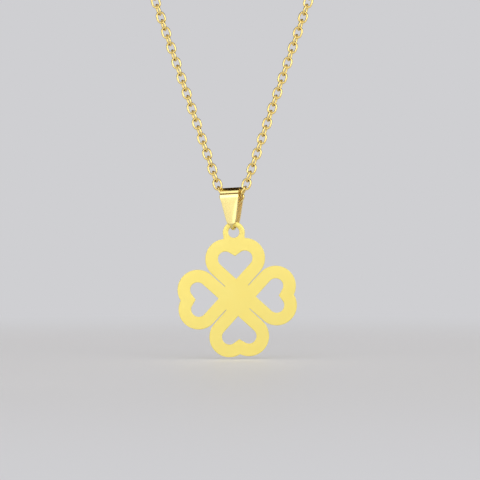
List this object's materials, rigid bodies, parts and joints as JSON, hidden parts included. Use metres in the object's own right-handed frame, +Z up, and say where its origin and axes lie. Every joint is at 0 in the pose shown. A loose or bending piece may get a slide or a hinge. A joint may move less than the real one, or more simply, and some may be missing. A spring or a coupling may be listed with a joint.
{
  "type": "four leaf clover pendant necklace",
  "caption": "Flat clover pendant with heart-shaped openings, hanging by its eye from a folded bail on a fine cable chain closed by a small clasp.",
  "frame": {"origin": "middle of the nape, where the chain rests on the back of the neck", "axes": "+X to the right as the pendant is seen from the front, +Y from the pendant back to the nape, +Z up"},
  "size_m": [0.0966, 0.0942, 0.1804],
  "materials": {
    "clover": "smooth satin, gold-coloured plating on steel",
    "bail": "mirror polished, gold-coloured plating on steel",
    "chain_left": "polished wire, gold-coloured plating on steel",
    "chain_right": "polished wire, gold-coloured plating on steel",
    "clasp": "polished, gold-coloured plating on steel",
    "end_ring": "polished wire, gold-coloured plating on steel"
  },
  "bodies": {
    "necklace": {"chain_left": "chain_left", "chain_right": "chain_right", "clasp": "clasp", "end_ring": "end_ring"},
    "bail_body": {"bail": "bail"},
    "clover_body": {"clover": "clover"}
  },
  "joints": [
    {"name": "bail_swing", "type": "hinge", "parent": "necklace", "child": "bail_body", "pos_m": [0, -0.08928, -0.141], "axis": [0.9498, -0.309, 0.0498], "range_deg": [-75, 75]},
    {"name": "clover_swing", "type": "hinge", "parent": "bail_body", "child": "clover_body", "pos_m": [0.00033, -0.08928, -0.14736], "axis": [0.9986, 0, 0.0523], "range_deg": [-50, 50]}
  ]
}
